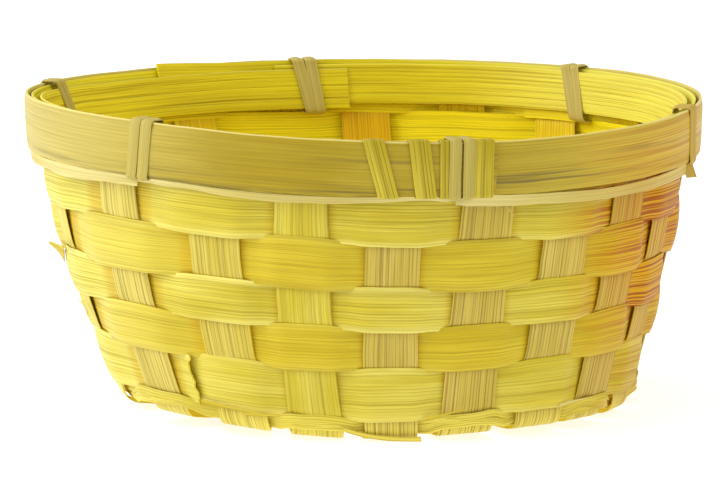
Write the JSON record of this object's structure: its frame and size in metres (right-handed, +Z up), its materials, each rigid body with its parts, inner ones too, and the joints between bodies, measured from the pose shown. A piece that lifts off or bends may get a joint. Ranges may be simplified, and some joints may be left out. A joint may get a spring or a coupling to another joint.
{
  "type": "easter basket",
  "caption": "Round open basket woven from yellow wooden chip strips, with a flat woven base, a flared wall and a lashed bamboo rim, for holding eggs or small gifts.",
  "frame": {"origin": "middle of the basket's bounding box, on the surface that it stands on", "axes": "+Z up through the mouth; the front, where the outer hoop's lap is bound, faces -Y; +X is to the right seen from the front"},
  "size_m": [0.24, 0.2421, 0.1102],
  "materials": {
    "stake_chip": "dyed wooden chip strip, matt, with strong lengthwise grooves",
    "weaver_chip": "dyed wooden chip strip, satin, with fine lengthwise grain",
    "outer_bamboo": "split bamboo band, satin, khaki yellow with dark streaks",
    "inner_bamboo": "split bamboo band, matt, grooved, dyed yellow",
    "binding_splint": "grooved chip splint, yellow green, satin",
    "lashing_splint": "thin pale khaki splint, matt"
  },
  "bodies": {
    "root": {"base_strip_across_1": "stake_chip", "base_strip_across_2": "stake_chip", "base_strip_across_3": "stake_chip", "base_strip_across_4": "stake_chip", "base_strip_across_5": "stake_chip", "base_strip_deep_1": "stake_chip", "base_strip_deep_2": "stake_chip", "base_strip_deep_3": "stake_chip", "base_strip_deep_4": "stake_chip", "base_strip_deep_5": "stake_chip", "weaver_row_1": "weaver_chip", "weaver_row_2": "weaver_chip", "weaver_row_3": "weaver_chip", "weaver_row_4": "weaver_chip", "weaver_row_5": "weaver_chip", "weaver_row_6": "weaver_chip", "rim_weaver": "weaver_chip", "rim_outer_hoop": "outer_bamboo", "rim_core_hoop": "inner_bamboo", "rim_inner_hoop": "inner_bamboo", "hoop_binding": "binding_splint", "lashing_tie_1": "lashing_splint", "lashing_tie_2": "lashing_splint", "lashing_tie_3": "lashing_splint", "lashing_tie_4": "lashing_splint", "lashing_tie_5": "lashing_splint", "lashing_tie_6": "lashing_splint", "lashing_run_1": "lashing_splint", "lashing_run_2": "lashing_splint", "lashing_run_3": "lashing_splint", "lashing_run_4": "lashing_splint", "lashing_run_5": "lashing_splint", "lashing_run_6": "lashing_splint"}
  },
  "joints": []
}
